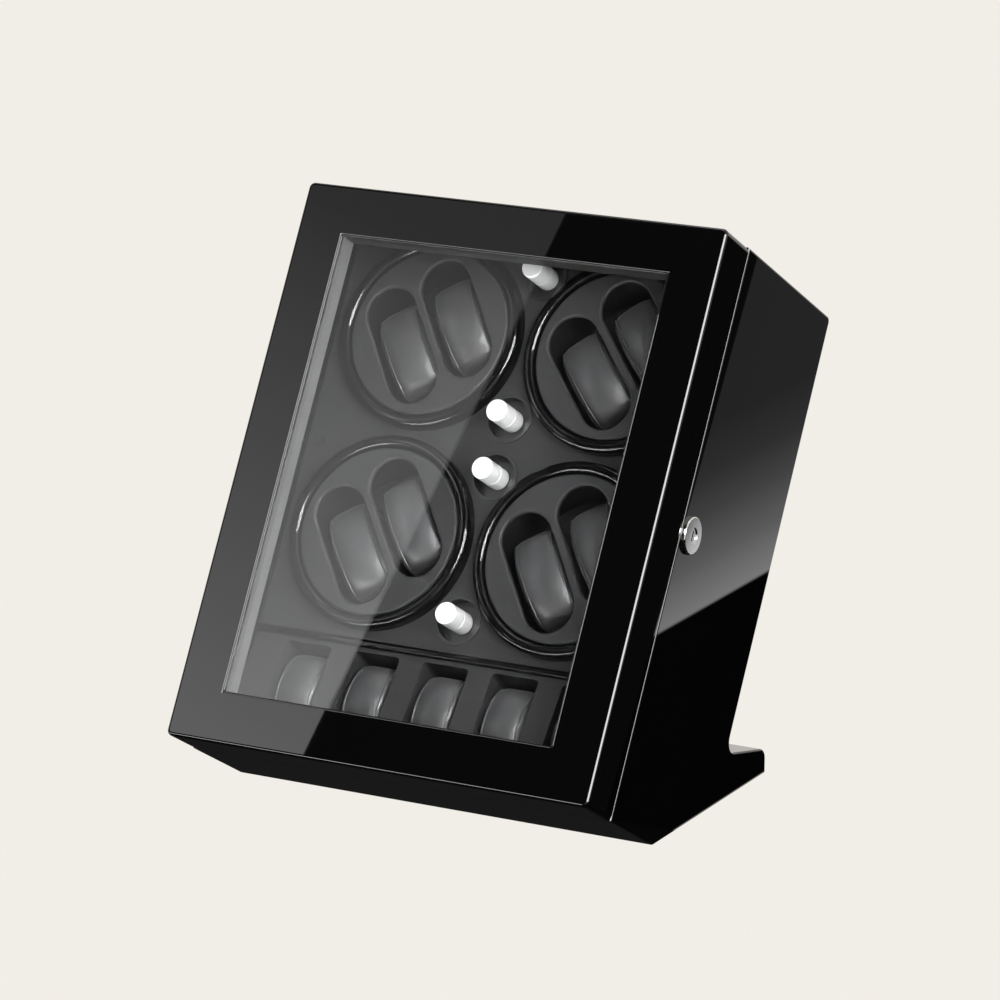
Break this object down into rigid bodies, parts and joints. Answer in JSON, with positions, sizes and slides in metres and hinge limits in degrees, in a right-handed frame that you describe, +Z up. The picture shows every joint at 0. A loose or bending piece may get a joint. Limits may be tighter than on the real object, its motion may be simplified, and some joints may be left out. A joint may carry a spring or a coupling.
{
  "type": "watch winder box",
  "caption": "Leaning lacquered watch winder box with a glazed hinged door, side key lock, motor driven turntables with pillows, mode knobs and a tray of storage pockets.",
  "frame": {"origin": "centre of the flat base on the ground", "axes": "+Z up, -Y towards the front that the door faces, +X to the right as seen from the front"},
  "size_m": [0.3188, 0.349, 0.3867],
  "materials": {
    "lacquer": "piano black lacquer",
    "felt": "black felt",
    "panel_cover": "grey leatherette, matt",
    "gloss_black": "gloss black",
    "pillow": "soft grey leatherette",
    "chrome": "polished chrome",
    "steel": "brushed",
    "pane": "clear",
    "liner": "satin grey lining",
    "black_plastic": "moulded black",
    "bush_brass": "turned",
    "motor_case": "plated case",
    "belt": "flat rubber belt",
    "board": "green board"
  },
  "bodies": {
    "cabinet": {"side_panel_left": "lacquer", "side_panel_right": "lacquer", "top_panel": "lacquer", "underside_panel": "lacquer", "base_block": "lacquer", "back_panel": "lacquer", "base_felt": "felt", "inner_panel": "panel_cover", "divider_rail": "gloss_black", "storage_tray": "panel_cover", "storage_pillow_1": "pillow", "storage_pillow_2": "pillow", "storage_pillow_3": "pillow", "storage_pillow_4": "pillow", "storage_pillow_5": "pillow", "bezel_rings": "gloss_black", "knob_wells": "gloss_black", "rotary_switches": "black_plastic", "drive_plate": "black_plastic", "bearing_bushes": "bush_brass", "gear_motors": "motor_case", "drive_belts": "belt", "control_board": "board", "board_spacers": "bush_brass", "power_inlet": "black_plastic", "hinge_leaves_cabinet": "steel", "hinge_pins": "steel", "lock_housing": "chrome", "lock_nut": "steel"},
    "door": {"door_frame": "lacquer", "window_pane": "pane", "reveal_liner": "liner", "hinge_leaves_door": "steel", "lock_keeper": "steel"},
    "lock": {"lock_plug": "chrome", "lock_cam": "steel"},
    "turntable_1": {"rotor_disc_1": "panel_cover", "rotor_cup_1": "black_plastic", "rotor_pulley_1": "black_plastic", "rotor_pillows_1": "pillow"},
    "turntable_2": {"rotor_disc_2": "panel_cover", "rotor_cup_2": "black_plastic", "rotor_pulley_2": "black_plastic", "rotor_pillows_2": "pillow"},
    "turntable_3": {"rotor_disc_3": "panel_cover", "rotor_cup_3": "black_plastic", "rotor_pulley_3": "black_plastic", "rotor_pillows_3": "pillow"},
    "turntable_4": {"rotor_disc_4": "panel_cover", "rotor_cup_4": "black_plastic", "rotor_pulley_4": "black_plastic", "rotor_pillows_4": "pillow"},
    "motor_1": {"motor_pulley_1": "black_plastic"},
    "motor_2": {"motor_pulley_2": "black_plastic"},
    "motor_3": {"motor_pulley_3": "black_plastic"},
    "motor_4": {"motor_pulley_4": "black_plastic"},
    "knob_1": {"mode_knob_1": "chrome"},
    "knob_2": {"mode_knob_2": "chrome"},
    "knob_3": {"mode_knob_3": "chrome"},
    "knob_4": {"mode_knob_4": "chrome"}
  },
  "joints": [
    {"name": "door_hinge", "type": "hinge", "parent": "cabinet", "child": "door", "pos_m": [-0.1582, -0.04752, 0.20243], "axis": [0, -0.5, -0.866], "range_deg": [0, 110]},
    {"name": "lock_turn", "type": "hinge", "parent": "cabinet", "child": "lock", "pos_m": [0.155, -0.03463, 0.19614], "axis": [-1, 0, 0], "range_deg": [0, 90]},
    {"name": "turntable_1_spin", "type": "hinge", "parent": "cabinet", "child": "turntable_1", "pos_m": [-0.0699, 0.03404, 0.28709], "axis": [0, -0.866, 0.5], "continuous": true},
    {"name": "turntable_2_spin", "type": "hinge", "parent": "cabinet", "child": "turntable_2", "pos_m": [0.0699, 0.03404, 0.28709], "axis": [0, -0.866, 0.5], "continuous": true},
    {"name": "turntable_3_spin", "type": "hinge", "parent": "cabinet", "child": "turntable_3", "pos_m": [-0.0699, -0.03556, 0.16654], "axis": [0, -0.866, 0.5], "continuous": true},
    {"name": "turntable_4_spin", "type": "hinge", "parent": "cabinet", "child": "turntable_4", "pos_m": [0.0699, -0.03556, 0.16654], "axis": [0, -0.866, 0.5], "continuous": true},
    {"name": "motor_1_spin", "type": "hinge", "parent": "cabinet", "child": "motor_1", "pos_m": [-0.0239, 0.01604, 0.25591], "axis": [0, -0.866, 0.5], "continuous": true},
    {"name": "motor_2_spin", "type": "hinge", "parent": "cabinet", "child": "motor_2", "pos_m": [0.0239, 0.01604, 0.25591], "axis": [0, -0.866, 0.5], "continuous": true},
    {"name": "motor_3_spin", "type": "hinge", "parent": "cabinet", "child": "motor_3", "pos_m": [-0.0239, -0.01756, 0.19772], "axis": [0, -0.866, 0.5], "continuous": true},
    {"name": "motor_4_spin", "type": "hinge", "parent": "cabinet", "child": "motor_4", "pos_m": [0.0239, -0.01756, 0.19772], "axis": [0, -0.866, 0.5], "continuous": true},
    {"name": "knob_1_turn", "type": "hinge", "parent": "cabinet", "child": "knob_1", "pos_m": [0, 0.05889, 0.33013], "axis": [0, -0.866, 0.5], "range_deg": [-135, 135]},
    {"name": "knob_2_turn", "type": "hinge", "parent": "cabinet", "child": "knob_2", "pos_m": [0, 0.00919, 0.24405], "axis": [0, -0.866, 0.5], "range_deg": [-135, 135]},
    {"name": "knob_3_turn", "type": "hinge", "parent": "cabinet", "child": "knob_3", "pos_m": [0, -0.01071, 0.20958], "axis": [0, -0.866, 0.5], "range_deg": [-135, 135]},
    {"name": "knob_4_turn", "type": "hinge", "parent": "cabinet", "child": "knob_4", "pos_m": [0, -0.06041, 0.1235], "axis": [0, -0.866, 0.5], "range_deg": [-135, 135]}
  ],
  "couplings": [
    {"joint": "motor_1_spin", "follows": "turntable_1_spin", "ratio": 6.2459},
    {"joint": "motor_2_spin", "follows": "turntable_2_spin", "ratio": 6.2459},
    {"joint": "motor_3_spin", "follows": "turntable_3_spin", "ratio": 6.2459},
    {"joint": "motor_4_spin", "follows": "turntable_4_spin", "ratio": 6.2459}
  ]
}
